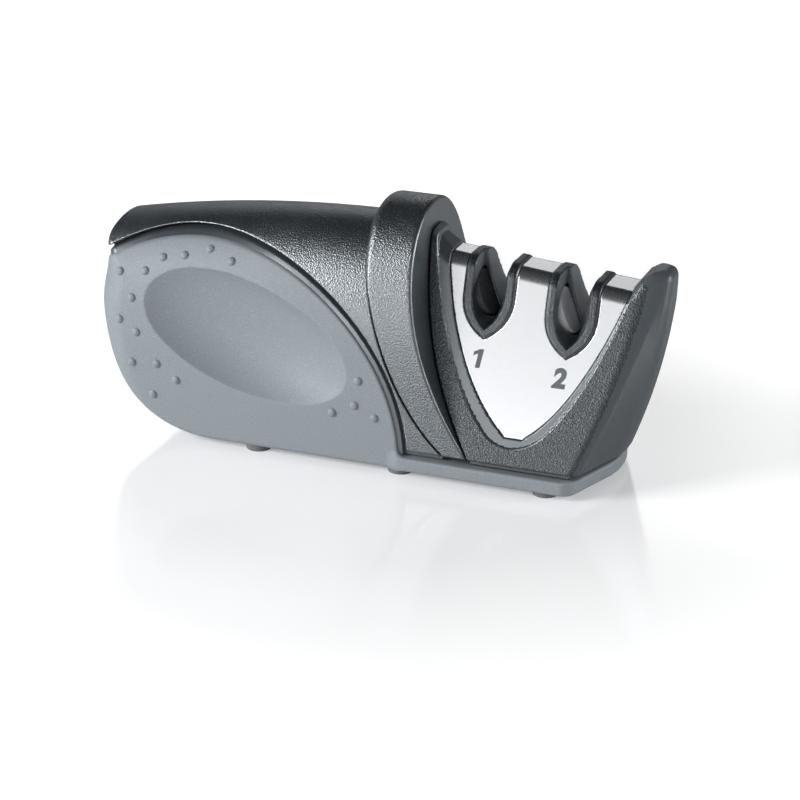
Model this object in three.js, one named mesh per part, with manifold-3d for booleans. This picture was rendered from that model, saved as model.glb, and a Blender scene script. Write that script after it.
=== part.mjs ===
// Two-stage hand knife sharpener, in millimetres, +Z up.
// +X runs from the handle to the sharpening head, and the knife is drawn along Y.
// The origin lies on the table, under the middle of the sharpener's box.
import * as THREE from "three";
import { mergeVertices } from "three/addons/utils/BufferGeometryUtils.js";
import Module from "manifold-3d";

const wasm = await Module();
wasm.setup();

// General fits and walls
const GAP = 0.35; // between neighbouring mouldings
const WALL = 2.2; // plastic wall
const EPS = 0.01; // overlap that joins two solids of one moulding
const FAR = 120; // past the whole object

// Feet and floor
const FOOT_PROUD = 1.5; // the floor's height over the table
const FOOT_RADIUS = 3.6;
const FOOT_SEAT = 0.8; // depth of the foot's seat in the floor
const FOOT_X = [-31.5, 11.5, 53.5];
const FOOT_INSET = 3.8; // foot centre from the handle's side
const FLOOR = 2.5; // floor thickness

// Handle body: an arched section along X under a crowned top line
const BODY_HALF_WIDTH = 25;
const BODY_TOP = 66.6; // height of the top line at x = 0
const CROWN_RADIUS = 385; // of the top line, falling to the left
const ARCH_POWER = 4.4; // how square the arch is
const ARCH_STEPS = 22;
const END_X = -45; // centre of the rounded left end
const END_Z = 40;
const END_LENGTH = 37.3; // from that centre to the left tip
const END_RISE = 50; // half-height of the end above the centre
const END_CORNER = 11; // plan radius of the end's corners

// The split line between the grey sides and the black cover: an ellipse
const SPLIT_X = -47;
const SPLIT_Z = 4;
const SPLIT_LENGTH = 59;
const COVER_BAND = 5.72; // height of the cover over the crest of the split line
const SPLIT_GROOVE = 2.4; // width of the shadow groove over the split line
const GROOVE_DEPTH = 0.9;

// Base strip that runs on under the head
const STRIP_PROUD = 1; // the strip stands this far out of the handle's side
const STRIP_TOP = 5.5;
const STRIP_START = 14; // where the strip has its full width
const STRIP_RAMP = 6; // length over which it comes out of the side
const HEAD_PLINTH = 7.5; // height of the head's lower edge
const PLINTH_INSET = 1.6; // shadow line under that edge
const STRIP_END_INSET = 1.5; // the strip ends this far short of the head's lower edge

// Collar between handle and head
const COLLAR_TOP = 72.4;
const COLLAR_PROUD = 0.2; // the collar stands this far out of the handle's side
const COLLAR_X = -1.2; // left edge at the top
const COLLAR_WIDTH = 14.9; // at the top
const SWEEP_LEFT = 26.2; // how far the left edge sweeps towards the head on its way down
const SWEEP_RIGHT = 18.3;
const LEFT_TOP_ACROSS = 2.7; // pulls that bend the left edge, from its top and from its foot
const LEFT_TOP_DOWN = 16.6;
const LEFT_FOOT_BACK = 17;
const LEFT_FOOT_UP = 14.5;
const RIGHT_TOP_BACK = 0.2; // the same for the right edge
const RIGHT_TOP_DOWN = 26.4;
const RIGHT_FOOT_BACK = 14;
const RIGHT_FOOT_UP = 20.5;
const COLLAR_WALL = 3;
const COLLAR_END_WALL = 2.5;

// Sharpening head
const FACE_TOP = 59.4; // top of the steel at PLATE_LEFT
const FACE_HALF_TOP = 5.9; // half-width of the steel at that height
const FRAME_PROUD = 1.2; // the plastic frame stands this far out of the steel
const HEAD_PROUD = 0.37; // the head's lower edge stands this far out of the handle's side
const TOP_FALL = 0.0925; // fall of the top line for 1 mm towards the end
const PLATE_LEFT = 20;
const PLATE_RIGHT = 71.2;
const PLATE_THICK = 0.8;
const TONGUE_X = 44.15; // middle of the steel's tongue at its tip
const TONGUE_HALF = 3.65;
const TONGUE_TIP = 14.6; // height of the tip
const TONGUE_STEP = 1; // chamfer of the tip's corners
const TONGUE_TOP_LEFT = 1.5; // pulls that bend the tongue's left edge
const TONGUE_TOP_DOWN = 12.4;
const TONGUE_TIP_LEFT = 13.5;
const TONGUE_TIP_UP = 12.4;
const TONGUE_TOP_RIGHT = 3.7; // the same for its right edge
const TONGUE_END_DOWN = 11.7;
const TONGUE_TIP_RIGHT = 10.7;
const TONGUE_END_UP = 8.4;
const HEAD_WALL = 1;
const SHOULDER_TOP = 64; // where the left shoulder meets the collar
const POST_RISE = 6; // the end post over the steel beside it
const POST_SLOPE = 4; // length of the post's inner slope
const CORNER_X = 63; // head corner at the plinth
const CORNER_RUN = 14.8; // how far that corner has run out at the post's crest
const CORNER_BULGE = 1.9; // how far it bulges past a straight line on the way up
const FACET_X = 70.3; // the same for the end's middle facet
const FACET_RUN = 11.3;
const FACET_BULGE = 2.3;
const FACET_HALF = 5; // half-width of that facet
const END_LEVELS = 5;

// Knife slots
const SLOT_X = [32.4, 56];
const SLOT_HALF = 7.4; // half-width of the cut in steel and housing
const SLOT_DEPTH = 19.7;
const SLOT_STRAIGHT = 8.5; // depth at which the cut starts to close
const MOUTH_HALF = 4.8; // half-width of the way left for the knife
const MOUTH_DEPTH = 17;
const MOUTH_STRAIGHT = 7;
const GUIDE_PROUD = 0.6; // the guide stands this far out of the steel

// Abrasive wheels, leaning on stub pins so that each pair makes a V
const WHEEL_RADIUS = 6.5;
const WHEEL_THICK = 3;
const WHEEL_TILT = (20 * Math.PI) / 180;
const WHEEL_DEPTH = 10.3; // wheel centre under the top line
const WHEEL_SIDE = 0.7; // wheel centre's distance from the mid-plane
const WHEEL_MEET = 0.7; // each wheel's lowest edge stops this far from the slot's middle
const WHEEL_ROOM = 0.5; // free room round a wheel
const PIN_RADIUS = 1.2;
const PIN_PLAY = 0.35;
const WHEEL_SKIN = 0.9; // wheel's face that closes its bore
const BRACKET_BACK = 2.1; // thickness of the wall that holds the pin
const BRACKET_HALF = 4; // half-width of that wall
const BRACKET_RIB = 1.8; // rib at each end of the wheel
const WHEEL_VIEW = 9; // open room in front of a wheel's face
const GUARD_START = 1.3; // a guard covers a wheel past this distance from the mid-plane
const GUARD_PROUD = 1.1; // the guard stands this far in front of the wheel's face

// Screws from below
const SCREW_RADIUS = 1.4;
const SCREW_HEAD_RADIUS = 2.8;
const SCREW_HEAD = 1.6;
const SCREW_LENGTH = 12;
const SCREW_SINK = 0.4; // head under the floor's lower face
const BOSS_RADIUS = 3.4;
const HANDLE_SCREW_X = [-52, -10];
const HEAD_SCREW_X = 44.5;
const HEAD_SCREW_Y = 12;
const HEAD_BOSS_TOP = 22;
const RIB_HALF = 1; // half-thickness of the rib beside a head boss
const POST_ROOT = 0.5; // a cover post's root in the cover's wall

// Thumb scoop on each side: a shallow ellipsoid, tilted down towards the head
const SCOOP_X = -34.2;
const SCOOP_Z = 33.5;
const SCOOP_LENGTH = 32; // half-length at the side
const SCOOP_RISE = 15.5; // half-height at the side
const SCOOP_DEPTH = 4.5;
const SCOOP_TILT = (16 * Math.PI) / 180;
const SCOOP_BULGE = 3; // how far the ellipsoid is centred outside the side
const SCOOP_SINK = 0.8; // how far in its rim lies, where the side curves in

// Widths that follow from the handle's
const FOOT_Y = BODY_HALF_WIDTH - FOOT_INSET;
const STRIP_HALF_WIDTH = BODY_HALF_WIDTH + STRIP_PROUD;
const COLLAR_HALF_WIDTH = BODY_HALF_WIDTH + COLLAR_PROUD;
const HEAD_HALF_WIDTH = BODY_HALF_WIDTH + HEAD_PROUD;
// Sideways run of a head face for 1 mm of fall
const FACE_LEAN = (HEAD_HALF_WIDTH - FACE_HALF_TOP - FRAME_PROUD) / (FACE_TOP - HEAD_PLINTH);

// Looks of the mouldings
const finish = (color, roughness, metalness = 0) =>
  new THREE.MeshStandardMaterial({ color, roughness, metalness });
const LOOKS = {
  grey: () => finish(0x8f979c, 0.55),
  black: () => finish(0x2a2f34, 0.6),
  steel: () => finish(0xd9dbdd, 0.28, 1),
  pin: () => finish(0xb4b8bc, 0.3, 1),
  coarse: () => finish(0x4a4d50, 0.85),
  fine: () => finish(0xc4c7c8, 0.8),
  rubber: () => finish(0x6d7376, 0.9),
};

// Solids from geometries, and back
function solid(geometry) {
  const bare = geometry.clone();
  for (const name of Object.keys(bare.attributes)) if (name !== "position") bare.deleteAttribute(name);
  const merged = mergeVertices(bare, 1e-4);
  return new wasm.Manifold(
    new wasm.Mesh({
      numProp: 3,
      vertProperties: new Float32Array(merged.attributes.position.array),
      triVerts: new Uint32Array(merged.index.array),
    }),
  );
}

function toGeometry(shape) {
  const made = shape.getMesh();
  const geometry = new THREE.BufferGeometry();
  geometry.setAttribute("position", new THREE.BufferAttribute(made.vertProperties, 3));
  geometry.setIndex(new THREE.BufferAttribute(made.triVerts, 1));
  geometry.computeVertexNormals();
  return geometry;
}

const assembly = new THREE.Group();
function addMesh(name, shape, look) {
  const mesh = new THREE.Mesh(toGeometry(shape), LOOKS[look]());
  mesh.name = name;
  assembly.add(mesh);
}

// Prisms of a flat outline
function extrude(shape, depth, segments = 16) {
  return new THREE.ExtrudeGeometry(shape, { depth, bevelEnabled: false, curveSegments: segments });
}

// An outline in X and Z, run through Y
function acrossY(shape, y0 = -FAR, y1 = FAR, segments = 16) {
  const geometry = extrude(shape, y1 - y0, segments);
  geometry.rotateX(Math.PI / 2);
  geometry.translate(0, y1, 0);
  return solid(geometry);
}

// An outline in X and Y, run up through Z
function upZ(shape, z0, z1, segments = 16) {
  const geometry = extrude(shape, z1 - z0, segments);
  geometry.translate(0, 0, z0);
  return solid(geometry);
}

// An outline in Y and Z, run along X
function alongX(shape, x0, x1) {
  const geometry = extrude(shape, x1 - x0);
  geometry.rotateX(Math.PI / 2);
  geometry.rotateZ(Math.PI / 2);
  geometry.translate(x0, 0, 0);
  return solid(geometry);
}

function outline(points) {
  return new THREE.Shape(points.map(([a, b]) => new THREE.Vector2(a, b)));
}

function round(radius, z0, z1, x, y, sides = 24) {
  const geometry = new THREE.CylinderGeometry(radius, radius, z1 - z0, sides);
  geometry.rotateX(Math.PI / 2);
  geometry.translate(x, y, (z0 + z1) / 2);
  return solid(geometry);
}

// Handle body
function topLine(x) {
  const run = Math.min(x, 0);
  return BODY_TOP - CROWN_RADIUS + Math.sqrt(CROWN_RADIUS ** 2 - run ** 2);
}

// A closed loft of arches along X, drawn in by inset all round
function archLoft(stations, halfWidth, height, inset = 0) {
  const points = [];
  const faces = [];
  const ring = ARCH_STEPS + 1;
  for (const x of stations) {
    for (let i = 0; i <= ARCH_STEPS; i++) {
      const turn = (Math.PI * i) / ARCH_STEPS;
      const rise = i % ARCH_STEPS ? Math.sin(turn) ** (2 / ARCH_POWER) : 0;
      points.push(x, -(halfWidth - inset) * Math.cos(turn), (height(x) - inset) * rise);
    }
  }
  for (let s = 0; s + 1 < stations.length; s++) {
    for (let i = 0; i < ring; i++) {
      const next = (i + 1) % ring;
      const [a, b, c, d] = [s * ring + i, s * ring + next, (s + 1) * ring + i, (s + 1) * ring + next];
      faces.push(a, c, b, b, c, d);
    }
  }
  const last = (stations.length - 1) * ring;
  for (let i = 1; i + 1 < ring; i++) {
    faces.push(0, i, i + 1);
    faces.push(last, last + i + 1, last + i);
  }
  const geometry = new THREE.BufferGeometry();
  geometry.setAttribute("position", new THREE.Float32BufferAttribute(points, 3));
  geometry.setIndex(faces);
  return solid(geometry);
}

// The handle's side view: flat floor, rounded left end, open to the right
function sideView(inset) {
  const length = END_LENGTH - inset;
  const drop = END_Z - FOOT_PROUD - inset;
  const shape = new THREE.Shape();
  shape.moveTo(FAR, END_Z - drop);
  shape.lineTo(FAR, FAR);
  shape.lineTo(END_X, END_Z + END_RISE - inset);
  shape.absellipse(END_X, END_Z, length, END_RISE - inset, Math.PI / 2, Math.PI, false);
  shape.absellipse(END_X, END_Z, length, drop, Math.PI, 1.5 * Math.PI, false);
  return acrossY(shape, -FAR, FAR, 14);
}

// The handle's plan view: two rounded corners at the left end
function planView(inset) {
  const half = BODY_HALF_WIDTH - inset;
  const left = END_X - END_LENGTH + inset;
  const corner = END_CORNER - inset;
  const shape = new THREE.Shape();
  shape.moveTo(FAR, -half);
  shape.lineTo(FAR, half);
  shape.lineTo(left + corner, half);
  shape.absarc(left + corner, half - corner, corner, Math.PI / 2, Math.PI, false);
  shape.absarc(left + corner, corner - half, corner, Math.PI, 1.5 * Math.PI, false);
  return upZ(shape, -FAR, FAR, 8);
}

const CROWN_STEPS = 6;
function body(inset) {
  const left = END_X - END_LENGTH - WALL;
  const crowned = Array.from({ length: CROWN_STEPS }, (_, i) => left * (1 - i / CROWN_STEPS));
  const arch = archLoft([...crowned, 0, FAR], BODY_HALF_WIDTH, topLine, inset);
  return arch.intersect(sideView(inset)).intersect(planView(inset));
}

// All below the split ellipse, grown by grow
const SPLIT_RISE = topLine(SPLIT_X) - COVER_BAND - SPLIT_Z;
function underSplit(grow) {
  const shape = new THREE.Shape();
  const [length, rise] = [SPLIT_LENGTH + grow, SPLIT_RISE + grow];
  shape.moveTo(SPLIT_X + length, SPLIT_Z);
  shape.absellipse(SPLIT_X, SPLIT_Z, length, rise, 0, Math.PI, false);
  shape.lineTo(SPLIT_X - length, -FAR);
  shape.lineTo(SPLIT_X + length, -FAR);
  return acrossY(shape, -FAR, FAR, 28);
}

// The two swept edges of the collar, as side-view curves from top to bottom
const COLLAR_LEFT = [
  [COLLAR_X, BODY_TOP],
  [COLLAR_X + LEFT_TOP_ACROSS, BODY_TOP - LEFT_TOP_DOWN],
  [COLLAR_X + SWEEP_LEFT - LEFT_FOOT_BACK, HEAD_PLINTH + LEFT_FOOT_UP],
  [COLLAR_X + SWEEP_LEFT, HEAD_PLINTH],
];
const COLLAR_END = COLLAR_X + COLLAR_WIDTH;
const COLLAR_RIGHT = [
  [COLLAR_END, COLLAR_TOP],
  [COLLAR_END - RIGHT_TOP_BACK, COLLAR_TOP - RIGHT_TOP_DOWN],
  [COLLAR_END + SWEEP_RIGHT - RIGHT_FOOT_BACK, HEAD_PLINTH + RIGHT_FOOT_UP],
  [COLLAR_END + SWEEP_RIGHT, HEAD_PLINTH],
];

// All to the right of a swept edge that is moved right by shift
function rightOf([top, upper, lower, foot], shift) {
  const shape = new THREE.Shape();
  shape.moveTo(FAR, FAR);
  shape.lineTo(top[0] + shift, FAR);
  shape.lineTo(top[0] + shift, top[1]);
  shape.bezierCurveTo(upper[0] + shift, upper[1], lower[0] + shift, lower[1], foot[0] + shift, foot[1]);
  shape.lineTo(foot[0] + shift, -FAR);
  shape.lineTo(FAR, -FAR);
  return acrossY(shape, -FAR, FAR, 14);
}

function above(z) {
  const shape = outline([[-FAR, z], [FAR, z], [FAR, FAR], [-FAR, FAR]]);
  return acrossY(shape);
}

// The head's faces and top line
const faceAt = (z, proud) => FACE_HALF_TOP + proud + (FACE_TOP - z) * FACE_LEAN;
const topAt = (x) => FACE_TOP - TOP_FALL * (x - PLATE_LEFT);
const CREST = topAt(PLATE_RIGHT) + POST_RISE; // top of the end post

// The head's end at height z: where its corners and its middle facet stand
function endAt(z, foot, run, bulge) {
  const share = (z - HEAD_PLINTH) / (CREST - HEAD_PLINTH);
  return foot + run * share + 4 * bulge * share * (1 - share);
}
const cornerAt = (z) => endAt(z, CORNER_X, CORNER_RUN, CORNER_BULGE);
const facetAt = (z) => endAt(z, FACET_X, FACET_RUN, FACET_BULGE);

// The leaning head between two heights, from the collar's left edge on, its end drawn in by inset
function headBlock(z0, z1, proud, inset = 0) {
  const points = [];
  const faces = [];
  const ring = 6;
  for (let level = 0; level <= END_LEVELS; level++) {
    const z = z0 + ((z1 - z0) * level) / END_LEVELS;
    const half = faceAt(z, proud);
    const narrow = Math.min(FACET_HALF, half / 2);
    const [corner, facet] = [cornerAt(z) - inset, facetAt(z) - inset];
    points.push(COLLAR_X, -half, z, corner, -half, z, facet, -narrow, z);
    points.push(facet, narrow, z, corner, half, z, COLLAR_X, half, z);
  }
  for (let level = 0; level < END_LEVELS; level++) {
    for (let i = 0; i < ring; i++) {
      const [a, b] = [level * ring + i, level * ring + ((i + 1) % ring)];
      faces.push(a, b, a + ring, b, b + ring, a + ring);
    }
  }
  const last = END_LEVELS * ring;
  for (let i = 1; i + 1 < ring; i++) {
    faces.push(0, i + 1, i);
    faces.push(last, last + i, last + i + 1);
  }
  const geometry = new THREE.BufferGeometry();
  geometry.setAttribute("position", new THREE.Float32BufferAttribute(points, 3));
  geometry.setIndex(faces);
  return solid(geometry);
}

// All under the head's top line: left shoulder, sloping top, end post
function underTop(drop) {
  const post = PLATE_RIGHT + GAP;
  const crest = CREST - drop;
  const shape = outline([
    [COLLAR_X, -FAR],
    [FAR, -FAR],
    [FAR, crest],
    [post + POST_SLOPE + drop, crest],
    [post + drop, topAt(post) - drop],
    [PLATE_LEFT - GAP, topAt(PLATE_LEFT) - drop],
    [COLLAR_END, SHOULDER_TOP - drop],
    [COLLAR_X, SHOULDER_TOP - drop],
  ]);
  return acrossY(shape);
}

// The steel's tongue in side view, grown by grow
function plateTongue(grow) {
  const [left, right, up] = [PLATE_LEFT - grow, PLATE_RIGHT + grow, FACE_TOP + FAR];
  const [tipLeft, tipRight] = [TONGUE_X - TONGUE_HALF - grow, TONGUE_X + TONGUE_HALF + grow];
  const tip = TONGUE_TIP - grow;
  const shape = new THREE.Shape();
  shape.moveTo(left, up);
  shape.lineTo(left, FACE_TOP);
  shape.bezierCurveTo(
    left + TONGUE_TOP_LEFT,
    FACE_TOP - TONGUE_TOP_DOWN,
    tipLeft - TONGUE_TIP_LEFT,
    tip + TONGUE_TIP_UP,
    tipLeft,
    tip + TONGUE_STEP,
  );
  shape.lineTo(tipLeft + TONGUE_STEP, tip);
  shape.lineTo(tipRight - TONGUE_STEP, tip);
  shape.lineTo(tipRight, tip + TONGUE_STEP);
  shape.bezierCurveTo(
    tipRight + TONGUE_TIP_RIGHT,
    tip + TONGUE_END_UP,
    right - TONGUE_TOP_RIGHT,
    topAt(right) - TONGUE_END_DOWN,
    right,
    topAt(right),
  );
  shape.lineTo(right, up);
  return acrossY(shape, -FAR, FAR, 12);
}

// A slot's side view: parallel sides that close to a rounded point
function slotCut(x, half, depth, straight) {
  const top = topAt(x);
  const bend = (straight + 2 * depth) / 3;
  const shape = new THREE.Shape();
  shape.moveTo(x - half, top + FAR);
  shape.lineTo(x - half, top - straight);
  shape.quadraticCurveTo(x - half, top - bend, x, top - depth);
  shape.quadraticCurveTo(x + half, top - bend, x + half, top - straight);
  shape.lineTo(x + half, top + FAR);
  return acrossY(shape, -FAR, FAR, 8);
}

// The wedge between the leaning faces, under the sloping top, out by proud
function headWedge(proud) {
  const [low, high] = [HEAD_PLINTH, SHOULDER_TOP];
  const shape = outline([
    [-faceAt(low, proud), low],
    [faceAt(low, proud), low],
    [faceAt(high, proud), high],
    [-faceAt(high, proud), high],
  ]);
  const under = outline([
    [COLLAR_X, 0],
    [FAR, 0],
    [FAR, topAt(FAR) + proud],
    [COLLAR_X, topAt(COLLAR_X) + proud],
  ]);
  return alongX(shape, COLLAR_X, FAR).intersect(acrossY(under));
}

// Handle shell: grey sides and floor, with the base strip
function basePlan(half) {
  const corner = cornerAt(HEAD_PLINTH) - STRIP_END_INSET;
  const facet = facetAt(HEAD_PLINTH) - STRIP_END_INSET;
  const shape = outline([
    [END_X, -BODY_HALF_WIDTH + WALL],
    [STRIP_START - STRIP_RAMP, -BODY_HALF_WIDTH + WALL],
    [STRIP_START, -half],
    [corner, -half],
    [facet, -FACET_HALF],
    [facet, FACET_HALF],
    [corner, half],
    [STRIP_START, half],
    [STRIP_START - STRIP_RAMP, BODY_HALF_WIDTH - WALL],
    [END_X, BODY_HALF_WIDTH - WALL],
  ]);
  return upZ(shape, FOOT_PROUD, STRIP_TOP);
}

const screwSpots = [
  ...HANDLE_SCREW_X.map((x) => [x, 0]),
  [HEAD_SCREW_X, -HEAD_SCREW_Y],
  [HEAD_SCREW_X, HEAD_SCREW_Y],
];
const footSpots = FOOT_X.flatMap((x) => [[x, -FOOT_Y], [x, FOOT_Y]]);
const SCREW_SEAT = FOOT_PROUD + SCREW_SINK + SCREW_HEAD;

function scoop(side) {
  const reach = SCOOP_BULGE + SCOOP_DEPTH;
  const grow = 1 / Math.sqrt(1 - (SCOOP_BULGE / reach) ** 2);
  const shape = new THREE.SphereGeometry(1, 32, 12);
  shape.scale(SCOOP_LENGTH * grow, reach, SCOOP_RISE * grow);
  shape.rotateY(SCOOP_TILT);
  shape.translate(SCOOP_X, side * (BODY_HALF_WIDTH + SCOOP_BULGE - SCOOP_SINK), SCOOP_Z);
  return solid(shape);
}

function handleShell() {
  const hollow = body(WALL).intersect(above(FOOT_PROUD + FLOOR));
  let shell = body(0).intersect(underSplit(0)).subtract(hollow);
  for (const side of [-1, 1]) {
    const pocketWall = body(0).intersect(underSplit(0)).intersect(scoopWall(side));
    shell = shell.add(pocketWall).subtract(scoop(side));
  }
  shell = shell.add(basePlan(STRIP_HALF_WIDTH));
  for (const [x, y] of footSpots) {
    shell = shell.subtract(round(FOOT_RADIUS + GAP, -FAR, FOOT_PROUD + FOOT_SEAT, x, y));
  }
  for (const [x, y] of screwSpots) {
    shell = shell.subtract(round(SCREW_HEAD_RADIUS + GAP, -FAR, SCREW_SEAT + GAP, x, y));
    shell = shell.subtract(round(SCREW_RADIUS + GAP, -FAR, FAR, x, y));
  }
  return shell;
}

// Wall behind a scoop: the scoop's own shape, pushed in by the wall
function scoopWall(side) {
  return scoop(side).translate([0, -side * WALL, 0]);
}

// Top cover: all over the split line and left of the collar
function coverPost(x) {
  const bottom = STRIP_TOP + GAP;
  const post = round(BOSS_RADIUS, bottom, topLine(x) - WALL + POST_ROOT, x, 0);
  return post.subtract(round(SCREW_RADIUS + GAP, 0, bottom + SCREW_LENGTH, x, 0));
}

function topCover() {
  const lip = body(GROOVE_DEPTH).subtract(underSplit(GAP)).intersect(above(STRIP_TOP + GAP));
  const skin = body(0).subtract(underSplit(SPLIT_GROOVE)).intersect(above(HEAD_PLINTH));
  let cover = skin.add(lip).subtract(body(WALL + GROOVE_DEPTH)).subtract(rightOf(COLLAR_LEFT, -GAP));
  for (const x of HANDLE_SCREW_X) cover = cover.add(coverPost(x));
  return cover;
}

// Collar: an arched band with a closed wall towards the head
function collar() {
  const flat = () => COLLAR_TOP;
  const ends = [COLLAR_X - WALL, COLLAR_END + SWEEP_RIGHT + WALL];
  const arch = (inset) => archLoft(ends, COLLAR_HALF_WIDTH, flat, inset);
  const band = rightOf(COLLAR_LEFT, 0).subtract(rightOf(COLLAR_RIGHT, 0)).intersect(above(HEAD_PLINTH));
  const hollow = arch(COLLAR_WALL).subtract(rightOf(COLLAR_RIGHT, -COLLAR_END_WALL));
  return arch(0).intersect(band).subtract(hollow);
}

// Head housing: the leaning black casing that carries the steel and the guides
function headHousing() {
  const crest = FACE_TOP + POST_RISE;
  const skirt = STRIP_TOP + GAP;
  const casing = headBlock(HEAD_PLINTH, crest, FRAME_PROUD).intersect(underTop(0));
  const plinth = headBlock(skirt, HEAD_PLINTH + EPS, FRAME_PROUD - PLINTH_INSET, PLINTH_INSET);
  const core = PLATE_THICK + GAP;
  const depth = core + HEAD_WALL;
  const inside = headBlock(skirt - WALL, crest, -depth, PLINTH_INSET + WALL).intersect(underTop(depth));
  const frontRecess = plateTongue(GAP).subtract(headWedge(-core));
  let housing = casing.add(plinth).subtract(inside).subtract(frontRecess);
  housing = housing.intersect(rightOf(COLLAR_RIGHT, GAP));
  const endWall = casing.subtract(rightOf(COLLAR_RIGHT, GAP + WALL)).intersect(rightOf(COLLAR_RIGHT, GAP));
  housing = housing.add(endWall.intersect(headBlock(HEAD_PLINTH, crest, -core)));
  for (const y of [-HEAD_SCREW_Y, HEAD_SCREW_Y]) {
    const boss = round(BOSS_RADIUS, skirt, HEAD_BOSS_TOP, HEAD_SCREW_X, y);
    const rib = bossRib(y, skirt);
    housing = housing.add(boss).add(rib);
    housing = housing.subtract(round(SCREW_RADIUS + GAP, 0, skirt + SCREW_LENGTH, HEAD_SCREW_X, y));
  }
  for (const x of SLOT_X) housing = housing.subtract(slotCut(x, SLOT_HALF, SLOT_DEPTH, SLOT_STRAIGHT));
  return housing;
}

// Rib that ties a screw boss to the leaning face beside it
function bossRib(y, z0) {
  const side = Math.sign(y);
  const core = PLATE_THICK + GAP + HEAD_WALL / 2;
  const reach = (z) => side * faceAt(z, -core);
  const shape = outline([
    [y, z0],
    [reach(z0), z0],
    [reach(HEAD_BOSS_TOP), HEAD_BOSS_TOP],
    [y, HEAD_BOSS_TOP],
  ]);
  return alongX(shape, HEAD_SCREW_X - RIB_HALF, HEAD_SCREW_X + RIB_HALF);
}

// Steel saddle over the head, with a tongue down each face and two slots
function facePlate() {
  const sheet = headWedge(0).subtract(headWedge(-PLATE_THICK));
  let plate = sheet.intersect(plateTongue(0));
  for (const x of SLOT_X) plate = plate.subtract(slotCut(x, SLOT_HALF, SLOT_DEPTH, SLOT_STRAIGHT));
  return plate;
}

// A wheel's frame: side is -1 for the left wheel (in front) and 1 for the right one (behind)
function wheelSpot(x, side) {
  const offset = WHEEL_RADIUS * Math.sin(WHEEL_TILT) + WHEEL_MEET;
  const centre = new THREE.Vector3(x + side * offset, side * WHEEL_SIDE, topAt(x) - WHEEL_DEPTH);
  const axis = new THREE.Vector3(-side * Math.cos(WHEEL_TILT), 0, Math.sin(WHEEL_TILT));
  return { centre, axis };
}

// A round bar on a wheel's axis, from one distance to another past the wheel's face
function onAxis({ centre, axis }, radius, from, to, sides = 32) {
  const geometry = new THREE.CylinderGeometry(radius, radius, to - from, sides);
  const turn = new THREE.Quaternion().setFromUnitVectors(new THREE.Vector3(0, 1, 0), axis);
  geometry.applyQuaternion(turn);
  const middle = centre.clone().addScaledVector(axis, (from + to) / 2);
  geometry.translate(middle.x, middle.y, middle.z);
  return solid(geometry);
}

// A box in a wheel's frame: half-length up the wheel, half-width in Y, depth on the axis
function slab({ centre, axis }, halfLength, halfWidth, from, to) {
  const geometry = new THREE.BoxGeometry(to - from, 2 * halfWidth, 2 * halfLength);
  geometry.translate((from + to) / 2, 0, 0);
  const up = new THREE.Vector3().crossVectors(axis, new THREE.Vector3(0, 1, 0));
  const basis = new THREE.Matrix4().makeBasis(axis, new THREE.Vector3(0, 1, 0), up);
  geometry.applyMatrix4(basis);
  geometry.translate(centre.x, centre.y, centre.z);
  return solid(geometry);
}

// Guard beside the blade: all on a wheel's side of a plane in front of its face, past GUARD_START
function guard(x, side) {
  const behind = slab(wheelSpot(x, side), FAR, FAR, -FAR, GUARD_PROUD);
  const [inner, outer] = [x + (side * GAP) / 2, x + side * SLOT_HALF];
  const shape = outline([[inner, 0], [outer, 0], [outer, FAR], [inner, FAR]]);
  const past = side < 0 ? acrossY(shape, GUARD_START, FAR) : acrossY(shape, -FAR, -GUARD_START);
  return behind.intersect(past);
}

// Slot guide: black liner of a slot, with a bracket and a guard for each of its two wheels
function slotGuide(x) {
  const cut = slotCut(x, SLOT_HALF - GAP, SLOT_DEPTH - GAP, SLOT_STRAIGHT);
  const liner = cut.intersect(headWedge(GUIDE_PROUD));
  let guide = liner;
  const back = WHEEL_THICK + WHEEL_ROOM;
  const ends = WHEEL_RADIUS + WHEEL_ROOM;
  const spots = [-1, 1].map((side) => wheelSpot(x, side));
  const room = headWedge(-PLATE_THICK - GAP - HEAD_WALL - GAP);
  for (const spot of spots) {
    const bracket = slab(spot, ends + BRACKET_RIB, BRACKET_HALF, -back - BRACKET_BACK, 0);
    guide = guide.add(bracket.intersect(room));
  }
  for (const spot of spots) {
    guide = guide.subtract(slab(spot, ends, ends, -back, WHEEL_VIEW));
    guide = guide.subtract(onAxis(spot, PIN_RADIUS + GAP / 2, -back - BRACKET_BACK - GAP, 0, 16));
  }
  guide = guide.subtract(slotCut(x, MOUTH_HALF, MOUTH_DEPTH, MOUTH_STRAIGHT));
  for (const side of [-1, 1]) guide = guide.add(guard(x, side).intersect(liner));
  for (const spot of spots) guide = guide.subtract(slab(spot, ends, ends, -back, GAP));
  return guide.intersect(headWedge(GUIDE_PROUD));
}

const WHEEL_NAMES = [
  ["coarse_wheel_left", "coarse_wheel_right"],
  ["fine_wheel_left", "fine_wheel_right"],
];
const WHEEL_LOOKS = ["coarse", "fine"];

// Screw with a flat round head, driven up from the floor
function screw(x, y) {
  const head = FOOT_PROUD + SCREW_SINK;
  const shank = round(SCREW_RADIUS, head + EPS, head + SCREW_HEAD + SCREW_LENGTH, x, y, 16);
  return round(SCREW_HEAD_RADIUS, head, head + SCREW_HEAD, x, y).add(shank);
}

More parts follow.
